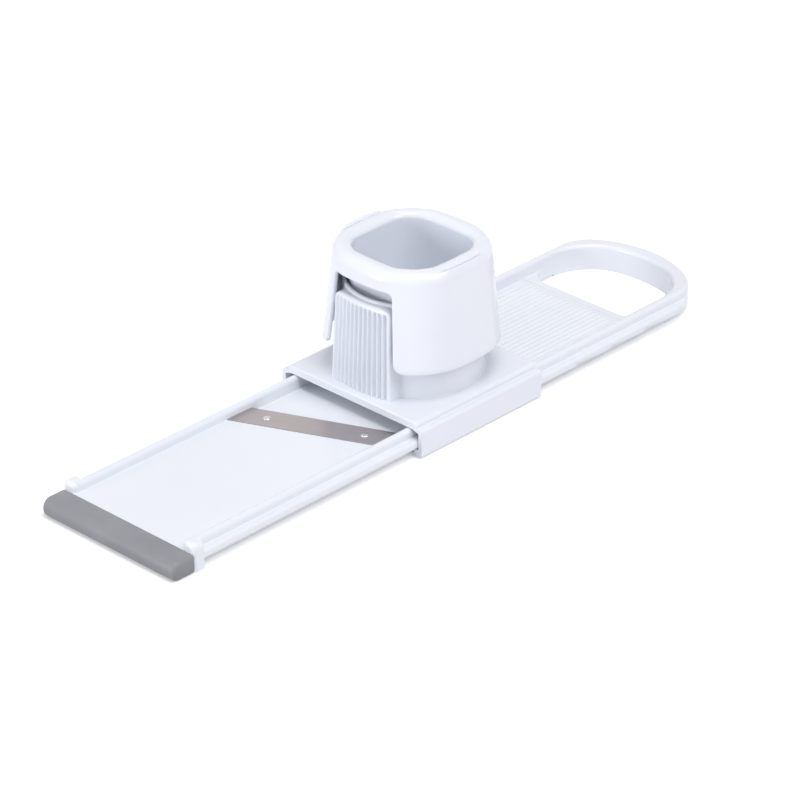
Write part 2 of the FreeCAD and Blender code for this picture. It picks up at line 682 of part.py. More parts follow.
def draw_panel(sketch):
    """Plan of a panel: straight back and sides, bowed front."""
    half, back, side = size("panel_half").value, size("panel_root").value, panel_side.value
    spread = math.asin(half / bow_round.value)
    circle = Part.Circle(Vector(bow_centre.value, 0, 0), Vector(0, 0, 1), bow_round.value)
    sketch.addGeometry(Part.LineSegment(Vector(-side, -half, 0), Vector(-back, -half, 0)))
    sketch.addGeometry(Part.LineSegment(Vector(-back, -half, 0), Vector(-back, half, 0)))
    sketch.addGeometry(Part.LineSegment(Vector(-back, half, 0), Vector(-side, half, 0)))
    sketch.addGeometry(Part.ArcOfCircle(circle, math.pi - spread, math.pi + spread))
    for piece in range(3):
        sketch.addConstraint(Sketcher.Constraint("Coincident", piece, 2, piece + 1, 1))
    sketch.addConstraint(Sketcher.Constraint("Coincident", 3, 2, 0, 1))
    hold_point(sketch, 0, 1, -panel_side, -size("panel_half"))
    hold_point(sketch, 1, 1, -size("panel_root"), -size("panel_half"))
    hold_point(sketch, 2, 1, -size("panel_root"), size("panel_half"))
    hold_point(sketch, 3, 1, -panel_side, size("panel_half"))
    hold(sketch, "Radius", 3, length=bow_round)


draw_panel(panel)
tube_draft = (size("tube_base") - size("tube_rim")) / size("tube_tall")
panel_lean = tube_draft * size("panel_tall")
pad(tube, panel, size("panel_tall"), tube_draft)
panel_top = sled_top + size("panel_tall")
dress(tube, "Fillet", "panel_corners", size("panel_corner_round"),
      lambda mid, box: near(mid.z, panel_top) and near(abs(mid.y), size("panel_half") - panel_lean))
dress(tube, "Fillet", "panel_edges", size("panel_edge_round"),
      lambda mid, box: box.ZLength > size("panel_tall").value / 2 and mid.x < (panel_lean - panel_side).value)
flutes = new_sketch(tube, "flutes", "XY_Plane", sled_top)
for index in range(FLUTE_COUNT):
    across = size("flute_pitch") * (index - (FLUTE_COUNT - 1) / 2)
    along = bow_centre - root(bow_round * bow_round - across * across)
    draw_circle(flutes, along, across, size("flute_round"))
flute_cut = cut(tube, flutes, size("flute_tall"), True)
flute_cut.UseCustomVector = True
flute_cut.Direction = Vector(-tube_draft.value, 0, -1)
bind(flute_cut, "Direction.x", -tube_draft)
doc.recompute()
both_panels = tube.newObject("PartDesign::Mirrored", "both_panels")
both_panels.TransformMode = "Whole shape"
both_panels.MirrorPlane = (origin_plane(tube, "YZ_Plane"), [""])
tube.Tip = both_panels
doc.recompute()
tube_bore = new_sketch(tube, "tube_bore", "XY_Plane", sled_roof)
draw_circle(tube_bore, ZERO, ZERO, size("tube_bore"))
cut(tube, tube_bore, tube_top - sled_roof, True)
bind(tube, "Placement.Base.x", size("sled_centre"))

# Pusher cap: a tapered shell with a finger well, cut out round the panels
cap = new_body("pusher_cap")
skirt_plan = new_sketch(cap, "skirt_plan", "XY_Plane", cap_low)
draw_rounded_square(skirt_plan, size("skirt_half"), size("skirt_corner"))
cap_draft = (size("skirt_half") - size("cap_half")) / size("cap_tall")
pad(cap, skirt_plan, size("cap_tall"), cap_draft)
dress(cap, "Fillet", "lip_rounding", size("cap_round"), lambda mid, box: near(mid.z, cap_top))
hollow = new_sketch(cap, "hollow", "XY_Plane", cap_low)
draw_rounded_square(hollow, size("skirt_half") - size("cap_wall"),
                    size("skirt_corner") - size("cap_wall"))
cut(cap, hollow, lip_low - cap_low, True, cap_draft)
well_out = size("well_half") + size("well_wall")
well_outside = new_sketch(cap, "well_outside", "XY_Plane", well_low)
draw_rounded_square(well_outside, well_out, size("well_corner") + size("well_wall"))
pad(cap, well_outside, lip_low - well_low + size("bite"))
well = new_sketch(cap, "well", "XY_Plane", well_low)
draw_rounded_square(well, size("well_half"), size("well_corner"))
cut(cap, well, size("well_deep"), True)
dress(cap, "Fillet", "well_mouth", size("well_round"),
      lambda mid, box: near(mid.z, cap_top) and max(abs(mid.x), abs(mid.y)) < well_out.value)

cut_out = new_sketch(cap, "cut_out", "YZ_Plane", -well_out - size("seat_clear"))
cut_top = cap_low + size("cut_tall")
flare_half = size("cut_low_half") + size("cut_flare")
draw_profile(cut_out, [
    (-flare_half, cap_low - size("bite")),
    (flare_half, cap_low - size("bite")),
    (flare_half, cap_low),
    (size("cut_low_half"), cap_low, size("cut_flare") - size("seat_clear")),
    (size("cut_half"), cut_top, size("cut_round")),
    (-size("cut_half"), cut_top, size("cut_round")),
    (-size("cut_low_half"), cap_low, size("cut_flare") - size("seat_clear")),
    (-flare_half, cap_low),
])
front_cut = cut(cap, cut_out, size("skirt_half"), False)
mirror(cap, [front_cut], "YZ_Plane")
side_ledge = new_sketch(cap, "side_ledge", "XY_Plane", cap_top - size("ledge_drop"))
draw_box(side_ledge, -size("ledge_half"), size("ledge_half"), -size("skirt_half"),
         size("ledge_in") - size("cap_half"))
near_ledge = cut(cap, side_ledge, size("ledge_drop"), True)
mirror(cap, [near_ledge], "XZ_Plane")
bind(cap, "Placement.Base.x", size("sled_centre"))

# Spike plate: closes the finger well with a plug and fills the tube
spikes = new_body("spike_plate")
disc = new_sketch(spikes, "disc", "XY_Plane", disc_low)
draw_circle(disc, ZERO, ZERO, size("tube_bore") - size("disc_clear"))
pad(spikes, disc, size("disc_thick"))
plug = new_sketch(spikes, "plug", "XY_Plane", well_low)
draw_rounded_square(plug, size("well_half") - size("seat_clear"), size("well_corner") - size("seat_clear"))
pad(spikes, plug, size("plug_tall"))
pin_places = []
for count, ring in ((OUTER_PINS, size("outer_ring")), (INNER_PINS, size("inner_ring"))):
    for index in range(count):
        turn = 2 * math.pi * (index + 0.5) / count
        pin_places.append((ring * math.cos(turn), ring * math.sin(turn)))
pin_holes = new_sketch(spikes, "pin_holes", "XY_Plane", disc_low)
for along, across in pin_places:
    draw_circle(pin_holes, along, across, size("pin_radius") + size("fit_clear"))
cut(spikes, pin_holes, size("disc_thick") + size("plug_tall"), True)
bind(spikes, "Placement.Base.x", size("sled_centre"))

# Holding pins, each with a head on the plug and a point below the plate
for index, (along, across) in enumerate(pin_places, 1):
    pin = new_body(f"holding_pin_{index:02d}")
    pin_profile = new_sketch(pin, f"pin_{index:02d}_profile", "XZ_Plane")
    point_low = disc_low - size("pin_reach")
    draw_profile(pin_profile, [
        (0, point_low),
        (size("point_flat"), point_low),
        (size("pin_radius"), point_low + size("point_tall")),
        (size("pin_radius"), plug_top),
        (size("pin_head"), plug_top),
        (size("pin_head"), plug_top + size("head_tall")),
        (0, plug_top + size("head_tall")),
    ])
    revolve(pin, pin_profile)
    bind(pin, "Placement.Base.x", size("sled_centre") + along)
    bind(pin, "Placement.Base.y", across)
doc.recompute()

# Every object is checked before any file is written
for item in doc.Objects:
    if "Invalid" in item.State or "Error" in item.State:
        raise RuntimeError(f"{item.Label} is {item.State}")
bodies = [item for item in doc.Objects if item.TypeId == "PartDesign::Body"]
for body in bodies:
    if body.Shape.isNull() or not body.Shape.isValid() or len(body.Shape.Solids) != 1:
        raise RuntimeError(f"{body.Label} is not one valid solid")
os.makedirs("parts", exist_ok=True)
for body in bodies:
    body.Shape.exportStep(f"parts/{body.Label}.step")
    box = body.Shape.BoundBox
    print(f"{body.Label}: {body.Shape.Volume:.1f} mm3, z {box.ZMin:.2f} to {box.ZMax:.2f}")
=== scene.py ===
# %% [markdown]
# # A mandoline slicer with a sliding food holder
#
# The slicer lies flat on a pale floor. A white frame carries a slanted blade, a ribbed feed plate and
# a loop handle. A holder slides along the rails, and its pusher slides up and down over a round tube.
# The solids come in as a fixed frame. This lesson dresses them: the curved mouldings are worked out
# again as smooth surfaces, and every surface gets a finish.

# %% Load the frame and keep its box
import json

import bmesh
import bpy
import numpy as np
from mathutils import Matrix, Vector


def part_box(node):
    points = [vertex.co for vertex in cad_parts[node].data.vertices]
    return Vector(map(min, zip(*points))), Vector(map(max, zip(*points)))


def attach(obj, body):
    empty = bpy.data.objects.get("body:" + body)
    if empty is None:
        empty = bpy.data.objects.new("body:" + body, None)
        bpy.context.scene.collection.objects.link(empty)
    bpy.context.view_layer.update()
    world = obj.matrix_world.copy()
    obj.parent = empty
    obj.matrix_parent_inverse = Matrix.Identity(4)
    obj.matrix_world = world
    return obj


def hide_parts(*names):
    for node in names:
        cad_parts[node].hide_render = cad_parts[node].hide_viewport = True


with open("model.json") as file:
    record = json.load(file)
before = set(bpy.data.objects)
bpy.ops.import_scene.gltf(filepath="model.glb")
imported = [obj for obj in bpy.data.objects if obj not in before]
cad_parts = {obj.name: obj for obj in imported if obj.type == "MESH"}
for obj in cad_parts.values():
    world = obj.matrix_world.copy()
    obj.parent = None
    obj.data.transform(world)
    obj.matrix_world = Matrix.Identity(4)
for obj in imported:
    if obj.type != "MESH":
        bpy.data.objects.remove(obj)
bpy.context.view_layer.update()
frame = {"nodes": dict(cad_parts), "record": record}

# %% [markdown]
# ## From numbers to a mesh
#
# Pieces could be put together from cubes, modifiers and booleans. Here every new piece is a grid of
# points instead, because a formula puts each point exactly where it belongs. Four neighbours on the
# grid make one face, so a closed piece needs only a grid whose edges meet. Working in millimetres
# keeps the numbers readable, and one factor turns them into Blender's metres. The sign of the volume
# tells which way the faces look, which is safer than asking Blender to guess.

# %% A grid of points becomes a piece
MM = 0.001
MERGE = 0.001 * MM
CREASE = np.radians(38)


def surface(name, points, slot, body, *nodes, wrap_rows=True):
    """Mesh of a grid of points in millimetres that closes on itself along its columns, and along its
    rows too unless these end in poles. It rides on a body and stands for the named solids."""
    rows, columns = points.shape[:2]
    index = np.arange(rows * columns).reshape(rows, columns)
    index = np.hstack([index, index[:, :1]])
    if wrap_rows:
        index = np.vstack([index, index[:1]])
    faces = np.stack([index[:-1, :-1], index[:-1, 1:], index[1:, 1:], index[1:, :-1]], axis=-1)
    faces = faces.reshape(-1, 4)
    spots = points.reshape(-1, 3) * MM
    a, b, c, d = (spots[faces[:, corner]] for corner in range(4))
    volume = np.einsum("ij,ij->", a, np.cross(b, c) + np.cross(c, d)) / 6
    if volume < 0:
        faces = faces[:, ::-1]
    mesh = bpy.data.meshes.new(name)
    mesh.from_pydata(spots.tolist(), [], faces.tolist())
    work = bmesh.new()
    work.from_mesh(mesh)
    bmesh.ops.remove_doubles(work, verts=work.verts, dist=MERGE)
    bmesh.ops.dissolve_degenerate(work, edges=work.edges, dist=MERGE)
    work.to_mesh(mesh)
    work.free()
    mesh.polygons.foreach_set("use_smooth", np.ones(len(mesh.polygons), dtype=bool))
    mesh.set_sharp_from_angle(angle=CREASE)
    piece = bpy.data.objects.new(name, mesh)
    bpy.context.scene.collection.objects.link(piece)
    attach(piece, body)
    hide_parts(*nodes)
    cubic_mm = abs(volume) / MM ** 3
    print(f"{name}: {len(mesh.polygons)} faces, {cubic_mm:.0f} mm3, open edges {open_edges(mesh)}")
    return piece


def open_edges(mesh):
    """How many edges don't lie between exactly two faces: none on a closed piece."""
    loops = np.empty(len(mesh.loops), dtype=np.int32)
    mesh.loops.foreach_get("edge_index", loops)
    return int((np.bincount(loops, minlength=len(mesh.edges)) != 2).sum())


print("edges that turn by more than", round(float(np.degrees(CREASE))), "degrees stay sharp")

# %% [markdown]
# ## Rounded outlines
#
# Moulded pieces have no sharp corners. A Bevel modifier could round them afterwards, but with arcs in
# the outline itself the faces follow them from the start. An outline is given by its corners and a
# radius for each one. The centre of each arc lies on the line that halves the corner, at radius /
# sin(half the corner), and the arc swings from one straight run to the next.

# %% Corners with radii become an outline
def rounded(corners, radii, steps):
    """Outline whose corners are arcs: points turn from the spoke at the run before to the spoke at
    the run after, with weights sin((1 - t) sweep) and sin(t sweep) over sin(sweep)."""
    corners = np.asarray(corners, dtype=float)
    radii = np.asarray(radii, dtype=float)[:, None]
    before = np.roll(corners, 1, axis=0) - corners
    after = np.roll(corners, -1, axis=0) - corners
    before /= np.linalg.norm(before, axis=1, keepdims=True)
    after /= np.linalg.norm(after, axis=1, keepdims=True)
    half = np.arccos(np.clip((before * after).sum(axis=1), -1, 1))[:, None] / 2
    middle = (before + after) / np.linalg.norm(before + after, axis=1, keepdims=True)
    centre = corners + middle * radii / np.sin(half)
    first = corners + before * radii / np.tan(half) - centre
    last = corners + after * radii / np.tan(half) - centre
    sweep = np.pi - 2 * half
    share = np.linspace(0, 1, steps)
    lead = np.sin((1 - share) * sweep) / np.sin(sweep)
    trail = np.sin(share * sweep) / np.sin(sweep)
    arcs = centre[:, None] + first[:, None] * lead[..., None] + last[:, None] * trail[..., None]
    return arcs.reshape(-1, 2)


sample = rounded([(0, 0), (4, 0), (4, 4), (0, 4)], [1, 1, 1, 1], 6)
print("a square of 4 with corners of 1 has", len(sample), "points and starts at", sample[0].round(2))

# %% [markdown]
# ## The camera
#
# The view is a long lens from the front left, about 29 degrees above the table, so that the rails
# run almost parallel. A short lens close by could show the same sides, but the front end would look
# too large. The place and the lens come from the straight edges of the slicer.

# %% Camera
scene = bpy.context.scene
scene.view_settings.view_transform = "Standard"
LENS_MM = 191.68
SENSOR_MM = 36
FAR_CLIP = 50
eye = Vector((-947.8, -907.6, 721.3)) * MM
aim = Vector((-5.6, -7.5, 7.0)) * MM
lens = bpy.data.cameras.new("long_lens")
lens.lens = LENS_MM
lens.sensor_width = SENSOR_MM
lens.clip_end = FAR_CLIP
camera = bpy.data.objects.new("long_lens", lens)
scene.collection.objects.link(camera)
camera.location = eye
camera.rotation_euler = (aim - eye).to_track_quat("-Z", "Y").to_euler()
scene.camera = camera
print("camera distance in metres:", round((aim - eye).length, 3))

# %% [markdown]
# ## Nodes and colours
#
# A colour is written as the hex value that a screen shows. Shaders work in linear light, so one
# function turns it round. A second function adds a node with its settings and its links, which keeps
# every material a short list. Patterns are sized by what they measure on the real surface.

# %% One function for colours, one for nodes
def colour(hex_value):
    """Screen colour to linear light: the lower end is a straight line, the rest a power of 2.4."""
    channels = np.array([int(hex_value[place:place + 2], 16) / 255 for place in (0, 2, 4)])
    linear = np.where(channels <= 0.04045, channels / 12.92, ((channels + 0.055) / 1.055) ** 2.4)
    return (*linear.tolist(), 1.0)


def add(tree, kind, sockets, **settings):
    """Adds a node: settings are its own properties, sockets hold a value or an output to link."""
    made = tree.nodes.new(kind)
    for name, value in settings.items():
        setattr(made, name, value)
    for socket, value in sockets.items():
        if isinstance(value, bpy.types.NodeSocket):
            tree.links.new(value, made.inputs[socket])
        else:
            made.inputs[socket].default_value = value
    return made


def new_material(name):
    """An empty material and its node tree."""
    made = bpy.data.materials.new(name)
    made.use_nodes = True
    made.node_tree.nodes.clear()
    return made, made.node_tree


def per_mm(size):
    """Texture scale for a feature of so many millimetres: one over its size in metres."""
    return 1 / (size * MM)


print("half of full on a screen is", round(colour("808080")[0], 3), "in linear light")

# %% [markdown]
# ## Floor, sky and lamps
#
# The slicer stands in a bright room with a white ground. Stronger lamps could make the floor white,
# but they would burn out the white plastic too. So the floor is a pale matt sheet, and what the camera
# and reflections see of it gets a little light of its own: it reads as white while the shadow under
# the slicer stays. The sky is white to them too, and gives the slicer about half of that. A broad lamp
# high in front, one low on the left and one at half height on the right give the rest. The right one
# shines into the finger well and the low left one hardly does.

# %% Floor
FLOOR_REACH = 6.0
FLOOR_GLOW = 0.3


def looked_at(tree):
    """1 for rays from the camera, from a gloss or through glass, and 0 for those that give light."""
    rays = add(tree, "ShaderNodeLightPath", {}).outputs
    seen = add(tree, "ShaderNodeMath", {0: rays["Is Camera Ray"], 1: rays["Is Glossy Ray"]},
               operation="MAXIMUM")
    seen = add(tree, "ShaderNodeMath", {0: seen.outputs[0], 1: rays["Is Transmission Ray"]},
               operation="MAXIMUM")
    return seen.outputs[0]


floor_mesh = bpy.data.meshes.new("floor")
corner_signs = np.array([(-1, -1, 0), (1, -1, 0), (1, 1, 0), (-1, 1, 0)])
floor_mesh.from_pydata((corner_signs * FLOOR_REACH).tolist(), [], [(0, 1, 2, 3)])
floor = bpy.data.objects.new("floor", floor_mesh)
scene.collection.objects.link(floor)
paper, tree = new_material("pale matt paper")
glow = add(tree, "ShaderNodeMath", {0: looked_at(tree), 1: FLOOR_GLOW}, operation="MULTIPLY")
matt = add(tree, "ShaderNodeBsdfDiffuse", {"Color": colour("F0F0F2")})
lift = add(tree, "ShaderNodeEmission", {"Color": colour("FFFFFF"), "Strength": glow.outputs[0]})
both = add(tree, "ShaderNodeAddShader", {0: matt.outputs[0], 1: lift.outputs[0]})
add(tree, "ShaderNodeOutputMaterial", {"Surface": both.outputs[0]})
floor_mesh.materials.append(paper)
print("floor:", paper.name)

# %% Sky
SKY_LEVEL = 0.49
sky = bpy.data.worlds.new("pale_sky")
scene.world = sky
sky.use_nodes = True
tree = sky.node_tree
tree.nodes.clear()
even = add(tree, "ShaderNodeBackground", {"Color": colour("FFFAFF"), "Strength": SKY_LEVEL})
white = add(tree, "ShaderNodeBackground", {"Color": colour("FFFFFF"), "Strength": 1.0})
mixed = add(tree, "ShaderNodeMixShader", {0: looked_at(tree), 1: even.outputs[0], 2: white.outputs[0]})
add(tree, "ShaderNodeOutputWorld", {"Surface": mixed.outputs[0]})
print("sky:", sky.name, "at", SKY_LEVEL)


# %% Lamps
def soft_lamp(name, place, width, watts):
    """A square lamp of a width in metres that looks at the middle of the slicer."""
    made = bpy.data.lights.new(name, "AREA")
    made.size = width
    made.energy = watts
    lamp = bpy.data.objects.new(name, made)
    scene.collection.objects.link(lamp)
    lamp.location = place
    lamp.rotation_euler = (aim - lamp.location).to_track_quat("-Z", "Y").to_euler()


soft_lamp("high_front", (-0.26, -0.44, 1.67), width=0.7, watts=10.3)
soft_lamp("low_left", (-1.47, 0.52, 0.3), width=0.5, watts=8.3)
soft_lamp("right", (0.1, -1.1, 1.1), width=0.7, watts=5.6)
print("lamps:", len(bpy.data.lights))

# %% [markdown]
# ## White moulded ABS
#
# The frame and the holder are glossy white ABS, shot into polished steel moulds. Polish gives broad
# clear highlights, and the plastic shrinks a little as it cools, which leaves a faint orange peel that
# only shows in reflections. White pigment never spreads quite evenly, so the tone drifts by a hair,
# and handling leaves slightly duller patches. Three noises of different sizes give these three things.
# Painted textures could do it as well, but noise on Object coordinates needs no UV map and no image.

# %% White ABS
ABS_IOR = 1.54
DRIFT_MM = 40
HAZE_MM = 12
HAZE = 0.03
PEEL_MM = 1.6
PEEL_DEEP = 0.02 * MM


def moulded_abs(name, light, deep, gloss):
    """Polished ABS: pigment drift in the colour, handling haze in the roughness and orange peel in
    the bump. Real peel is nearer 1 mm, which is too fine for a picture of the whole slicer."""
    made, tree = new_material(name)
    place = add(tree, "ShaderNodeTexCoord", {}).outputs["Object"]
    drift = add(tree, "ShaderNodeTexNoise", {"Vector": place, "Scale": per_mm(DRIFT_MM), "Detail": 3.0})
    tone = add(tree, "ShaderNodeMix", {0: drift.outputs[0], 6: colour(light), 7: colour(deep)},
               data_type="RGBA")
    haze = add(tree, "ShaderNodeTexNoise", {"Vector": place, "Scale": per_mm(HAZE_MM), "Detail": 4.0})
    dull = add(tree, "ShaderNodeMapRange", {"Value": haze.outputs[0], "To Min": gloss - HAZE,
                                            "To Max": gloss + HAZE})
    peel = add(tree, "ShaderNodeTexNoise", {"Vector": place, "Scale": per_mm(PEEL_MM), "Detail": 0.0})
    skin = add(tree, "ShaderNodeBump", {"Height": peel.outputs[0], "Strength": 0.15,
                                        "Distance": PEEL_DEEP})
    body = add(tree, "ShaderNodeBsdfPrincipled", {
        "Base Color": tone.outputs[2], "Roughness": dull.outputs[0], "Normal": skin.outputs[0],
        "IOR": ABS_IOR})
    add(tree, "ShaderNodeOutputMaterial", {"Surface": body.outputs[0]})
    return made


frame_abs = moulded_abs("white ABS, moulded in polished steel", "ECF1F7", "E8EDF4", 0.22)
holder_abs = moulded_abs("white ABS of the holder, moulded", "EBF0F7", "E7ECF4", 0.18)
print("ABS finishes:", frame_abs.name, "|", holder_abs.name)

# %% [markdown]
# ## Grey elastomer
#
# The bar across the front end is a soft grey thermoplastic elastomer that keeps the slicer from
# skidding. Its mould was spark eroded, so the skin is a fine even grain that scatters light: no clear
# highlight, only a soft sheen. Real grain would take millions of faces, so a bump draws it. Wear
# lightens the bar in patches. Painted shade also darkens it towards the bottom, so that its top reads
# lighter than its lower front.

# %% Grey elastomer
WEAR_MM = 18
# The real grain is about 0.2 mm; it is drawn at 0.7 mm so that the picture can show it
GRAIN_MM = 0.7
GRAIN_DEEP = 0.12 * MM
elastomer, tree = new_material("grey elastomer, spark-eroded mould grain")
place = add(tree, "ShaderNodeTexCoord", {}).outputs["Object"]
cloud = add(tree, "ShaderNodeTexNoise", {"Vector": place, "Scale": per_mm(WEAR_MM), "Detail": 4.0})
height = add(tree, "ShaderNodeSeparateXYZ", {"Vector": place}).outputs["Z"]
# Painted shade: the bar is made darker towards the bottom by its height, and lighter at the top
painted_shade_below = add(tree, "ShaderNodeMapRange", {"Value": height, "From Max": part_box("end_grip")[1][2],
                                          "To Min": -0.5, "To Max": 0.0})
wear_and_painted_shade = add(tree, "ShaderNodeMath", {0: cloud.outputs[0], 1: painted_shade_below.outputs[0]}, operation="ADD")
tone = add(tree, "ShaderNodeMix", {0: wear_and_painted_shade.outputs[0], 6: colour("7C7F84"), 7: colour("9B9CA1")},
           data_type="RGBA")
grain = add(tree, "ShaderNodeTexNoise", {"Vector": place, "Scale": per_mm(GRAIN_MM), "Detail": 2.0})
skin = add(tree, "ShaderNodeBump", {"Height": grain.outputs[0], "Strength": 0.35, "Distance": GRAIN_DEEP})
dull = add(tree, "ShaderNodeMapRange", {"Value": grain.outputs[0], "To Min": 0.42, "To Max": 0.58})
rubber = add(tree, "ShaderNodeBsdfPrincipled", {
    "Base Color": tone.outputs[2], "Roughness": dull.outputs[0], "Normal": skin.outputs[0],
    "IOR": 1.5})
add(tree, "ShaderNodeOutputMaterial", {"Surface": rubber.outputs[0]})
print("grip finish:", elastomer.name)

# %% [markdown]
# ## Steel
#
# The blade is stainless strip, brushed along its length and ground on one edge, so its highlight is
# stretched across the brush lines. The shader's own anisotropy could stretch it too, but it shows no
# lines. So the lines are a noise that is pulled out fifty times along the blade. The rivets are
# polished and the pins ground, with only fine marks that run no special way.

# %% Blade and fasteners
BLADE_SLANT = 0.447
BRUSHED = 1 / 50
EVEN = 1
LINE_DEEP = 0.03 * MM


def stainless(name, light, deep, gloss, turn, stretch, line_mm):
    """Steel with brush lines: a noise pulled out along one direction tints, dulls and grooves it."""
    made, tree = new_material(name)
    place = add(tree, "ShaderNodeTexCoord", {}).outputs["Object"]
    along = add(tree, "ShaderNodeMapping", {"Vector": place, "Rotation": (0, 0, turn)})
    pulled = add(tree, "ShaderNodeMapping", {"Vector": along.outputs[0], "Scale": (1, stretch, 1)})
    lines = add(tree, "ShaderNodeTexNoise", {"Vector": pulled.outputs[0], "Scale": per_mm(line_mm),
                                             "Detail": 3.0})
    tone = add(tree, "ShaderNodeMix", {0: lines.outputs[0], 6: colour(light), 7: colour(deep)},
               data_type="RGBA")
    dull = add(tree, "ShaderNodeMapRange", {"Value": lines.outputs[0], "To Min": gloss - 0.08,
                                            "To Max": gloss + 0.1})
    skin = add(tree, "ShaderNodeBump", {"Height": lines.outputs[0], "Strength": 0.15,
                                        "Distance": LINE_DEEP})
    steel = add(tree, "ShaderNodeBsdfPrincipled", {
        "Base Color": tone.outputs[2], "Roughness": dull.outputs[0], "Normal": skin.outputs[0],
        "Metallic": 1.0})
    add(tree, "ShaderNodeOutputMaterial", {"Surface": steel.outputs[0]})
    return made


slant = float(-np.arctan(BLADE_SLANT))
blade_steel = stainless("stainless strip, brushed and ground", "BDB5B6", "ACA5A6",
                        gloss=0.33, turn=slant, stretch=BRUSHED, line_mm=0.4)
rivet_steel = stainless("stainless rivet, formed and polished", "DAD9D8", "CAC8C7",
                        gloss=0.16, turn=0, stretch=EVEN, line_mm=0.4)
pin_steel = stainless("stainless pin, drawn and ground", "C6C5C4", "ACABAA",
                      gloss=0.28, turn=0, stretch=EVEN, line_mm=0.5)
print("steels:", blade_steel.name, "|", rivet_steel.name, "|", pin_steel.name)

# %% [markdown]
# ## The end grip
#
# The grip is a bar with a round nose, moulded over the front of the frame. A bevelled box would round
# all its edges alike, so its section is an outline with four radii. Carried straight across the slicer
# it would end in two sharp faces, so near each end the section shrinks towards the middle of its back
# as a quarter circle, as in a mould with a rounded end, and closes to a point in the flat end face.

# %% End grip
grip_low, grip_high = (np.array(corner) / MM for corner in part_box("end_grip"))
grip_middle = (grip_low[2] + grip_high[2]) / 2
GRIP_TOP_ROUND = 3.4
GRIP_LOW_ROUND = 2.8
GRIP_BACK_ROUND = 0.3
GRIP_END_ROUND = 1.4
GRIP_ARC_STEPS = 12
GRIP_END_STEPS = 9
section = rounded(
    [(grip_high[0], grip_low[2]), (grip_high[0], grip_high[2]), (grip_low[0], grip_high[2]),
     (grip_low[0], grip_low[2])],
    [GRIP_BACK_ROUND, GRIP_BACK_ROUND, GRIP_TOP_ROUND, GRIP_LOW_ROUND], GRIP_ARC_STEPS)
bend = np.linspace(0, np.pi / 2, GRIP_END_STEPS)
reach = grip_high[1] - GRIP_END_ROUND * (1 - np.sin(bend))
inset = GRIP_END_ROUND * (1 - np.cos(bend))
across = np.concatenate([[-reach[-1]], -reach[::-1], reach, [reach[-1]]])
share_x = 1 - inset / (grip_high[0] - grip_low[0])
share_z = 1 - inset / (grip_high[2] - grip_middle)
share_x = np.concatenate([[0], share_x[::-1], share_x, [0]])[:, None]
share_z = np.concatenate([[0], share_z[::-1], share_z, [0]])[:, None]
points = np.stack(np.broadcast_arrays(
    grip_high[0] + (section[:, 0] - grip_high[0]) * share_x,
    across[:, None],
    grip_middle + (section[:, 1] - grip_middle) * share_z), axis=-1)
end_grip = surface("end_grip_skin", points, "grip_elastomer", "frame", "end_grip", wrap_rows=False)
end_grip.data.materials.append(elastomer)

# %% [markdown]
# ## The feed plate
#
# Behind the blade the food runs on a plate with fine ribs along the stroke, so that wet slices don't
# stick. A bump in the material could draw the ribs, but the mesh itself would stay flat, so they are
# real humps. The plate is one grid. Across it runs the height of the top, with a small round at both
# sides and a hump for each rib. The plate is pressed into its seat, so it fills the gap round it.

# %% Heights across the plate
plate_low, plate_high = (np.array(corner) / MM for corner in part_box("feed_plate"))
RIB_PITCH = 2.3
RIB_WIDE = 1.5
RIB_RISE = 0.5
RIB_COUNT = 21
EDGE_ROUND = 0.15
SEAT_GAP = 0.1
PLATE_COLUMNS = 290
EDGE_STEPS = 6
plate_top = plate_high[2] - RIB_RISE
plate_middle = (plate_low[2] + plate_top) / 2
plate_half = plate_high[1] + SEAT_GAP
quarter = np.linspace(0, np.pi / 2, EDGE_STEPS)
side = plate_half - EDGE_ROUND * (1 - np.sin(quarter))
wide = np.concatenate([-side[::-1], np.linspace(-side[0], side[0], PLATE_COLUMNS)[1:-1], side])
past_flat = np.maximum(np.abs(wide) - side[0], 0)
crown = plate_top - EDGE_ROUND + np.sqrt(EDGE_ROUND ** 2 - past_flat ** 2)
from_rib = np.mod(wide / RIB_PITCH + 0.5, 1) * RIB_PITCH - RIB_PITCH / 2
hump = 0.5 + 0.5 * np.cos(2 * np.pi * from_rib / RIB_WIDE)
on_rib = (np.abs(from_rib) < RIB_WIDE / 2) & (np.abs(wide) < RIB_PITCH * RIB_COUNT / 2)
hump = np.where(on_rib, hump * RIB_RISE, 0)
print("plate is", (2 * plate_half).round(1), "mm wide, with", RIB_COUNT, "ribs", RIB_PITCH, "mm apart")

# %% [markdown]
# Along the plate the ribs fade in and out. Nothing else changes there, so a few rows are enough. The
# front edge is slanted like the blade. Each end row is squeezed to the middle of the thickness, which
# closes the piece.

# %% Feed plate
RIB_FRONT = -8.0
RIB_MARGIN = 1.5
RIB_FADE = 1.6
PLATE_FRONT = -31.35


def smooth_step(value):
    """0 below 0, 1 above 1 and 3t^2 - 2t^3 between."""
    share = np.clip(value, 0, 1)
    return share * share * (3 - 2 * share)


plate_rear = plate_high[0] + SEAT_GAP
slanted_front = PLATE_FRONT - BLADE_SLANT * wide
nose = EDGE_ROUND * (1 - np.cos(quarter))
squeeze = 1 - EDGE_ROUND * (1 - np.sin(quarter)) / (plate_top - plate_middle)
rib_rear = plate_rear - RIB_MARGIN
fade_in = np.linspace(0, RIB_FADE, EDGE_STEPS)
runs = np.concatenate([RIB_FRONT + fade_in, rib_rear - fade_in[::-1]])
strength = np.concatenate([smooth_step(fade_in / RIB_FADE), smooth_step(fade_in[::-1] / RIB_FADE)])
no_ribs = np.zeros(len(nose) + 1)
lengthwise = np.concatenate([
    slanted_front + np.concatenate([[0], nose])[:, None],
    np.broadcast_to(runs[:, None], (len(runs), len(wide))),
    np.broadcast_to((plate_rear - np.concatenate([nose[::-1], [0]]))[:, None],
                    (len(nose) + 1, len(wide)))])
shut = np.concatenate([[0], squeeze, np.ones(len(runs)), squeeze[::-1], [0]])[:, None]
ribbed = np.concatenate([no_ribs, strength, no_ribs])[:, None]
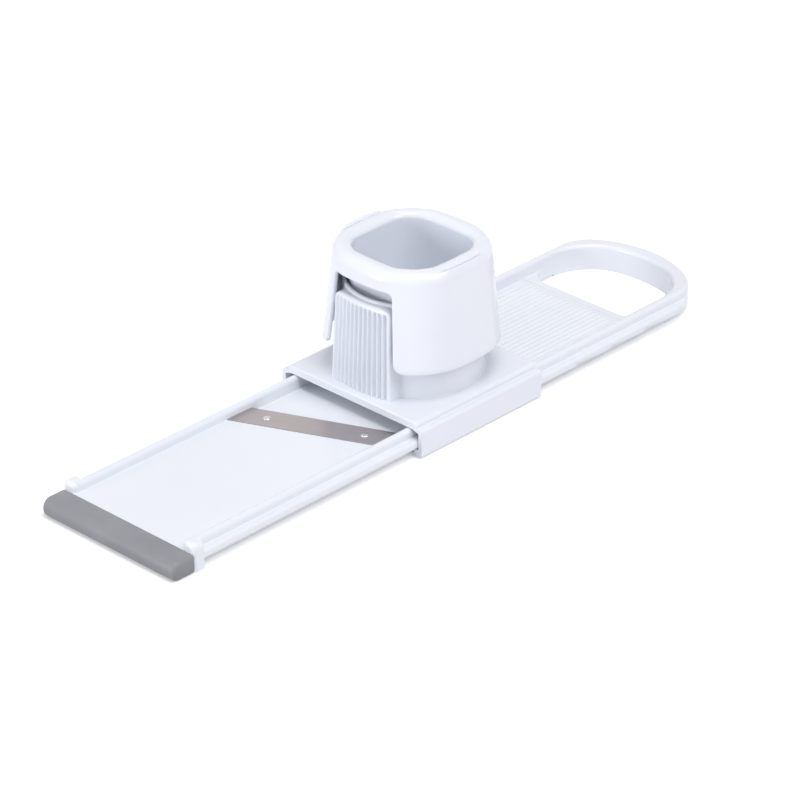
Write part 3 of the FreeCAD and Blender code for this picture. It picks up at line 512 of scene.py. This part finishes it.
upper = plate_middle + (crown + hump * ribbed - plate_middle) * shut
lower = np.broadcast_to(plate_middle + (plate_low[2] - plate_middle) * shut, upper.shape)
spans = np.broadcast_to(wide, upper.shape)
points = np.concatenate([np.stack([lengthwise, spans, upper], axis=-1),
                         np.stack([lengthwise, spans, lower], axis=-1)[:, ::-1]], axis=1)
feed_plate = surface("feed_plate_skin", points, "frame_abs", "frame", "feed_plate", wrap_rows=False)
feed_plate.data.materials.append(frame_abs)

# %% [markdown]
# ## The rivets
#
# Two rivets hold the blade. A rivet is round, so its surface is a profile that goes once round an axis.
# Blender's Screw modifier could turn it too, but a grid closes at the seam and the poles without more
# work. The head is a low dome, which catches a small point of light.

# %% Rivets
RIVET_TAIL = 1.7
RIVET_SHANK = 1.2
RIVET_HEAD = 1.5
HEAD_EDGE = 0.05
HEAD_RISE = 0.55
TURNED_STEPS = 40
DOME_STEPS = 8
BED_UNDER = 4.4
BLADE_TOP = 7.2


def turned(profile, centre):
    """Profile of radius and height carried once round an upright axis, by cosine and sine."""
    angle = np.linspace(0, 2 * np.pi, TURNED_STEPS, endpoint=False)
    return np.stack(np.broadcast_arrays(
        centre[0] + profile[:, :1] * np.cos(angle),
        centre[1] + profile[:, :1] * np.sin(angle),
        profile[:, 1:]), axis=-1)


for rivet_name in ("blade_rivet_near", "blade_rivet_far"):
    low, high = (np.array(corner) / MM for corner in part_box(rivet_name))
    dome = np.linspace(0, np.pi / 2, DOME_STEPS)
    head = np.stack([RIVET_HEAD * np.cos(dome),
                     BLADE_TOP + HEAD_EDGE + (HEAD_RISE - HEAD_EDGE) * np.sin(dome)], axis=1)
    stem = np.array([(0, low[2]), (RIVET_TAIL, low[2]), (RIVET_TAIL, BED_UNDER),
                     (RIVET_SHANK, BED_UNDER), (RIVET_SHANK, BLADE_TOP), (RIVET_HEAD, BLADE_TOP)])
    points = turned(np.concatenate([stem, head]), (low + high) / 2)
    rivet = surface(rivet_name + "_turned", points, "rivet_steel", "frame", rivet_name, wrap_rows=False)
    rivet.data.materials.append(rivet_steel)

# %% [markdown]
# ## The food tube
#
# The tube guides the pusher. It is a slightly tapered round moulding with a broad fluted panel at the
# front and at the back, for a hand to grip. Booleans could cut the flutes one by one, but they leave
# sharp edges where a mould has round ones. So the outline is worked out, as seen from above: at every
# angle it is the larger of two radii, the tube's own circle and the panel's bowed front. The panel's
# radius is the smaller of its front and its sides, with the edge between them rounded. The flutes are
# taken off the front.

# %% Outline of the tube at any height
tube_low, tube_high = (np.array(corner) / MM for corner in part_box("food_tube"))
axis_x = (tube_low[0] + tube_high[0]) / 2
SLED_TOP = 13.3
TUBE_BASE = 25.6
TUBE_RIM = 24.3
PANEL_REACH = 28.0
PANEL_HALF = 14.3
PANEL_BOW = 2.0
PANEL_TALL = 34.2
PANEL_CORNER = 3.0
PANEL_EDGE = 1.6
FLUTE_PITCH = 2.2
FLUTE_COUNT = 12
FLUTE_DEEP = 1.6
FLUTE_CLOSE = 0.08
FLUTE_END = 0.9
FLUTE_FADE = 2.2
FOOT_ROUND = 0.4
# Keeps the formula of the straight sides finite where the panel's front has long taken over
LEAST_SINE = 0.2
draft = (TUBE_BASE - TUBE_RIM) / (tube_high[2] - SLED_TOP)
panel_top = SLED_TOP + PANEL_TALL
bow_round = (PANEL_HALF ** 2 + PANEL_BOW ** 2) / (2 * PANEL_BOW)
bow_centre = bow_round - PANEL_REACH


def tube_radius(level):
    """Circle that tapers with the draft and flares into a small round at the foot."""
    foot = np.clip((SLED_TOP + FOOT_ROUND - level) / FOOT_ROUND, 0, 1)
    return TUBE_BASE - draft * (level - SLED_TOP) + FOOT_ROUND * (1 - np.sqrt(1 - foot ** 2))


def flutes(across, level):
    """Depth of the flutes: a squared sine, so that round ribs and round grooves are equally wide.
    They draw together a little towards the top and run out below the panel's edge."""
    rise = (level - SLED_TOP) / PANEL_TALL
    place = across / (1 - FLUTE_CLOSE * rise)
    wave = np.sin(np.pi * place / FLUTE_PITCH) ** 2
    inside = np.abs(place) < FLUTE_PITCH * FLUTE_COUNT / 2
    run_out = smooth_step((panel_top - FLUTE_END - level) / FLUTE_FADE)
    return np.where(inside, FLUTE_DEEP * wave, 0) * run_out


def soft_least(first, second, width):
    """The smaller of two values, with the corner between them rounded over a width: a mix of the two
    by their difference, less the width times both shares of the mix."""
    share = np.clip(0.5 + 0.5 * (second - first) / width, 0, 1)
    return second * (1 - share) + first * share - width * share * (1 - share)


def panel_radius(angle, level):
    """Radius to the bowed front, a circle about a point behind the axis, or to the straight sides.
    Near the top both draw in along a quarter circle, and the sides also round their corners."""
    over_edge = np.clip(level - (panel_top - PANEL_EDGE), 0, PANEL_EDGE)
    draw_in = draft * (level - SLED_TOP) + PANEL_EDGE - np.sqrt(PANEL_EDGE ** 2 - over_edge ** 2)
    over_corner = np.clip(level - (panel_top - PANEL_CORNER), 0, PANEL_CORNER)
    corner = PANEL_CORNER - np.sqrt(PANEL_CORNER ** 2 - over_corner ** 2)
    swing = bow_centre * np.cos(angle)
    front = np.sqrt(swing ** 2 + (bow_round - draw_in) ** 2 - bow_centre ** 2) - swing
    front = front - flutes(front * np.sin(angle), level)
    sides = (PANEL_HALF - draw_in - corner) / np.maximum(np.abs(np.sin(angle)), LEAST_SINE)
    return soft_least(front, sides, PANEL_EDGE)


print("panel bow radius:", round(bow_round, 1), "mm, draft:", round(draft, 3))

# %% [markdown]
# The grid of the tube goes round the axis in one direction and along its section in the other: up the
# outside, over the rim and down the bore. Angles lie close together on the panels, where the flutes
# need them, and far apart on the plain wall.

# %% Food tube
BORE = 22.9
SPIGOT = 24.6
RIM_ROUND = 0.6
SPIGOT_ROUND = 0.3
RIM_STEPS = 6
WALL_MARGIN = 0.5
FLUTED_SPAN = np.radians(29)
SIDE_SPAN = np.radians(37)
quarter_turn = np.concatenate([np.linspace(0, FLUTED_SPAN, 90, endpoint=False),
                               np.linspace(FLUTED_SPAN, SIDE_SPAN, 34, endpoint=False),
                               np.linspace(SIDE_SPAN, np.pi / 2, 26)])
half_turn = np.concatenate([-quarter_turn[:0:-1], quarter_turn[:-1]])
from_panel = np.concatenate([half_turn, half_turn])
angle = np.concatenate([half_turn + np.pi, half_turn + 2 * np.pi])
foot_levels = SLED_TOP + FOOT_ROUND * (1 - np.cos(np.linspace(0, np.pi / 2, RIM_STEPS)))
wall_levels = np.linspace(foot_levels[-1], panel_top - PANEL_CORNER - WALL_MARGIN, 8)[1:]
corner_turn = np.linspace(0, np.pi / 2, 20)
corner_levels = panel_top - PANEL_CORNER + PANEL_CORNER * np.sin(corner_turn)
levels = np.concatenate([foot_levels, wall_levels, corner_levels])[:, None]
outer = np.maximum(tube_radius(levels), panel_radius(from_panel, levels))
shelf = np.linspace(1, 0, 5)[1:, None]
shelf_radius = tube_radius(panel_top) + (outer[-1] - tube_radius(panel_top)) * shelf
rim = rounded([(TUBE_RIM, panel_top), (TUBE_RIM, tube_high[2]), (BORE, tube_high[2]),
               (BORE, tube_low[2]), (SPIGOT, tube_low[2]), (SPIGOT, SLED_TOP)],
              [0, RIM_ROUND, RIM_ROUND, SPIGOT_ROUND, SPIGOT_ROUND, 0], RIM_STEPS)[RIM_STEPS:]
radius = np.concatenate([outer, shelf_radius, np.broadcast_to(rim[:, :1], (len(rim), len(angle)))])
height = np.concatenate([levels, np.full((len(shelf), 1), panel_top), rim[:, 1:]])
points = np.stack(np.broadcast_arrays(
    axis_x + radius * np.cos(angle), radius * np.sin(angle), height), axis=-1)
food_tube = surface("food_tube_moulding", points, "holder_abs", "sled", "food_tube")
food_tube.data.materials.append(holder_abs)

# %% [markdown]
# ## The pusher
#
# The pusher is a hollow cap with a finger well. Its walls lean in towards a broad rolled lip, and the
# lip turns down into the well. A subdivided box could look like it, but its arcs would have no exact
# size. Seen from above every level is a soft square: four straight runs joined by large arcs. Such a
# ring is c s(cos) + r cos along one axis and the same with sin along the other, where s is a sign that
# takes a short span to change instead of jumping.

# %% The soft square
cap_low, cap_high = (np.array(corner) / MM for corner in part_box("pusher_cap"))
SKIRT_LOW = 25.0
SOFT_SIGN = 0.2
CAP_STRAIGHT = 4.0
CAP_ARC = 25.5
CAP_WALL = 1.6
CAP_DRAFT = 0.1
WELL_STRAIGHT = 7.0
WELL_ARC = 11.0
WELL_WALL = 1.4


def soft_square(angle, straight, arc):
    """Plan points of a square with half width straight + arc and corners of radius arc: straight
    times the softened sign of cosine and sine, plus arc times cosine and sine."""
    turn = np.stack([np.cos(angle), np.sin(angle)], axis=-1)
    return straight * np.clip(turn / SOFT_SIGN, -1, 1) + arc * turn


def cap_arc(level):
    """Arc of the outer wall, which leans in by the draft."""
    return CAP_ARC - CAP_DRAFT * (level - SKIRT_LOW)


def angle_of(across, level):
    """Angle at which the outer wall stands so far from the middle: the ring's formula turned round."""
    arc = cap_arc(level)
    flat = across / (CAP_STRAIGHT / SOFT_SIGN + arc)
    bent = (across - CAP_STRAIGHT) / arc
    return np.arcsin(np.where(flat < SOFT_SIGN, flat, bent))


print("pusher skirt is", 2 * (CAP_STRAIGHT + CAP_ARC), "mm wide, its well", 2 * (WELL_STRAIGHT + WELL_ARC))

# %% [markdown]
# The cap is cut out round both fluted panels. A grid that ignored this would leave a ragged edge, so
# the grid follows it: every column starts on the lower edge, which runs along the top of the opening,
# down its splayed side, round the skirt's corner and along the skirt. The same edge moved a little
# into the wall gives the rows of its rounded rim.

# %% The lower edge of the cap
CUT_TOP = 54.5
CUT_HALF = 13.4
CUT_FOOT_HALF = 16.0
CUT_ROUND = 2.5
FLARE_ROUND = 3.9
FLARE_REACH = 21.0
EDGE_COLUMNS = 84
SKIRT_COLUMNS = 30
OPENING_STEPS = 16


def spread(outline, count):
    """The same open outline as evenly spaced points, by its running length."""
    step = np.linalg.norm(np.diff(outline, axis=0), axis=1)
    run = np.concatenate([[0], np.cumsum(step)])
    places = np.linspace(0, run[-1], count)
    return np.stack([np.interp(places, run, outline[:, axis]) for axis in range(2)], axis=1)


opening = rounded([(0, CUT_TOP), (CUT_HALF, CUT_TOP), (CUT_FOOT_HALF, SKIRT_LOW),
                   (FLARE_REACH, SKIRT_LOW)], [0, CUT_ROUND, FLARE_ROUND, 0], OPENING_STEPS)
opening = spread(opening, EDGE_COLUMNS)
slope = np.gradient(opening, axis=0)
slope /= np.linalg.norm(slope, axis=1, keepdims=True)
into_wall = np.stack([-slope[:, 1], slope[:, 0]], axis=1)


def lower_edge(depth):
    """Angle and height along a quarter of the edge, moved into the wall by a depth."""
    moved = opening + into_wall * depth
    turn = angle_of(np.maximum(moved[:, 0], 0), moved[:, 1])
    skirt = np.linspace(turn[-1], np.pi / 2, SKIRT_COLUMNS)[1:]
    level = np.concatenate([moved[:, 1], np.full(len(skirt), moved[-1, 1])])
    return np.concatenate([turn, skirt]), level


def whole_ring(turn, level):
    """A quarter of the ring to the whole ring, as two mirror images of two mirror images."""
    turn = np.concatenate([turn, np.pi - turn[-2::-1]])
    level = np.concatenate([level, level[-2::-1]])
    return np.concatenate([turn, turn[1:-1] + np.pi]), np.concatenate([level, level[1:-1]])


print("opening starts", CUT_TOP - SKIRT_LOW, "mm above the skirt's edge")

# %% [markdown]
# Above the rim, every column runs up the wall to the lip. The columns that start on the steep side of
# the opening stand close together, so they fan out on their way up.

# %% Rows of the rim and the walls
RIM = 0.5
# Shares of the columns from a panel to the middle of the skirt, and the angles they reach at the lip
FAN_PLACES = [0, 0.22, 0.64, 0.74, 1]
FAN_DEGREES = [0, 24.5, 40, 47, 90]
count = EDGE_COLUMNS + SKIRT_COLUMNS - 1
fan = np.radians(np.interp(np.linspace(0, 1, count), FAN_PLACES, FAN_DEGREES))


def edge_row(depth, inwards):
    """One row of the rim: the edge moved into the wall, and from the outer face towards the inner."""
    turn, level = whole_ring(*lower_edge(depth))
    plan = soft_square(turn, CAP_STRAIGHT, cap_arc(level)[:, None] - inwards)
    return np.concatenate([plan, level[:, None]], axis=1)


def wall_rows(inwards, top, rows):
    """Rows of a wall from the rim up to a level, on straight lines in angle and height."""
    turn, level = lower_edge(RIM)
    share = np.linspace(0, 1, rows)[:, None]
    whole = [whole_ring(turn + (fan - turn) * part, level + (top - level) * part) for part in share]
    turns = np.stack([pair[0] for pair in whole])
    heights = np.stack([pair[1] for pair in whole])
    plan = soft_square(turns, CAP_STRAIGHT, cap_arc(heights)[..., None] - inwards)
    return np.concatenate([plan, heights[..., None]], axis=-1)


print("columns round the cap:", len(whole_ring(fan, fan)[0]))

# %% [markdown]
# The lip is a quarter ellipse on the outside. Towards the well it dips as a parabola and turns down
# over a tight edge. On two sides the wall runs straight up to a crisp edge instead, which slopes in to
# a narrow groove: a stop for the thumb and the fingers. These pads taper into the roll at both ends.
# Sculpting could shape them by eye, but heights from one formula keep the two sides alike.

# %% The lip and its pads
LIP_START = 57.6
LIP_OUTER = 4.3
ROLL_STEPS = 18
MOUTH_DISH = 1.3
MOUTH_EDGE = 1.6
MOUTH_POWER = 0.5
PAD_HALF = 11.5
PAD_TAPER = 4.0
# Section of a pad: places from the outer wall inwards, and how far each lies below the lip
PAD_PLACES = [0, 0.15, 0.4, 0.65, 0.9, 1.9, 2.05, 2.3, 2.5, 4.3]
PAD_DROPS = [4.4, 2.6, 1.3, 0.5, 0.15, 0.8, 1.6, 1.6, 0.6, 0]
ring, _ = whole_ring(fan, fan)
lip_foot = soft_square(ring, CAP_STRAIGHT, cap_arc(LIP_START))
well_ring = soft_square(ring, WELL_STRAIGHT, WELL_ARC)
lip_wide = np.linalg.norm(lip_foot - well_ring, axis=1)
roll = np.linspace(0, np.pi / 2, ROLL_STEPS)[:, None]
pad_roll = np.arccos(1 - np.array(PAD_PLACES[1:-1]) / LIP_OUTER)[:, None]
outer_roll = np.sort(np.concatenate([roll, pad_roll]), axis=0)
outer_place = LIP_OUTER * (1 - np.cos(outer_roll))
outer_share = outer_place / lip_wide
inward = np.sin(roll) ** MOUTH_POWER
inner_share = 1 - (1 - LIP_OUTER / lip_wide) * (1 - inward)
outer_height = LIP_START + (cap_high[2] - LIP_START) * np.sin(outer_roll)
inner_height = cap_high[2] - MOUTH_DISH * inward ** 2 - MOUTH_EDGE * (1 - np.cos(roll) ** MOUTH_POWER)
outer_height = np.broadcast_to(outer_height, outer_share.shape)
inner_height = np.broadcast_to(inner_height, inner_share.shape)
on_pad = np.clip((PAD_HALF - np.abs(lip_foot[:, 0])) / PAD_TAPER, 0, 1)
on_pad = np.where(np.abs(lip_foot[:, 1]) > PAD_HALF, on_pad, 0)
pad_height = cap_high[2] - np.interp(outer_place, PAD_PLACES, PAD_DROPS)
raised = outer_height + (pad_height - outer_height) * on_pad
lip_share = np.concatenate([outer_share, inner_share])[..., None]
lip_height = np.concatenate([raised, inner_height])[..., None]
lip = np.concatenate([lip_foot + (well_ring - lip_foot) * lip_share, lip_height], axis=-1)
print("lip is", lip_wide.min().round(1), "to", lip_wide.max().round(1), "mm wide")

# %% [markdown]
# Now the rows join up: up the outer wall, over the lip, down the well, up behind it, down the inner
# wall and round the rim to the start. A Solidify modifier could give the wall its thickness, but the
# well hangs inside the cap, so inside and outside differ.

# %% Pusher
RIM_BEVEL = 0.15
LIP_UNDER = 57.8


def level_rows(plan, heights):
    """The same ring at several heights."""
    rows = np.broadcast_to(plan, (len(heights), *plan.shape))
    return np.concatenate([rows, np.broadcast_to(np.reshape(heights, (-1, 1, 1)), (*rows.shape[:2], 1))],
                          axis=-1)


well_outside = soft_square(ring, WELL_STRAIGHT, WELL_ARC + WELL_WALL)
well_levels = np.linspace(cap_high[2] - MOUTH_DISH - MOUTH_EDGE, cap_low[2], 6)[1:]
points = np.concatenate([
    wall_rows(0, LIP_START, rows=20),
    lip[1:],
    level_rows(well_ring, well_levels),
    level_rows(well_outside, [cap_low[2], LIP_UNDER]),
    wall_rows(CAP_WALL, LIP_UNDER, rows=8)[::-1],
    np.stack([edge_row(RIM_BEVEL, CAP_WALL - RIM_BEVEL), edge_row(0, CAP_WALL - RIM), edge_row(0, RIM),
              edge_row(RIM_BEVEL, RIM_BEVEL)])])
points = points + np.array([axis_x, 0, 0])
pusher = surface("pusher_moulding", points, "holder_abs", "pusher", "pusher_cap")
pusher.data.materials.append(holder_abs)

# %% [markdown]
# ## Finishes for the solids that stay
#
# The frame, the carriage, the blade, the spike plate and its pins already have the right shape, so
# they only get their finish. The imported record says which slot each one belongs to.

# %% Finishes by slot
finish_of = {"frame_abs": frame_abs, "holder_abs": holder_abs, "grip_elastomer": elastomer,
             "blade_steel": blade_steel, "rivet_steel": rivet_steel, "pin_steel": pin_steel}
for part in frame["record"]["subparts"]:
    frame["nodes"][part["node"]].material_slots[0].material = finish_of[part["material_slot"]]
print("finishes:", len(finish_of))
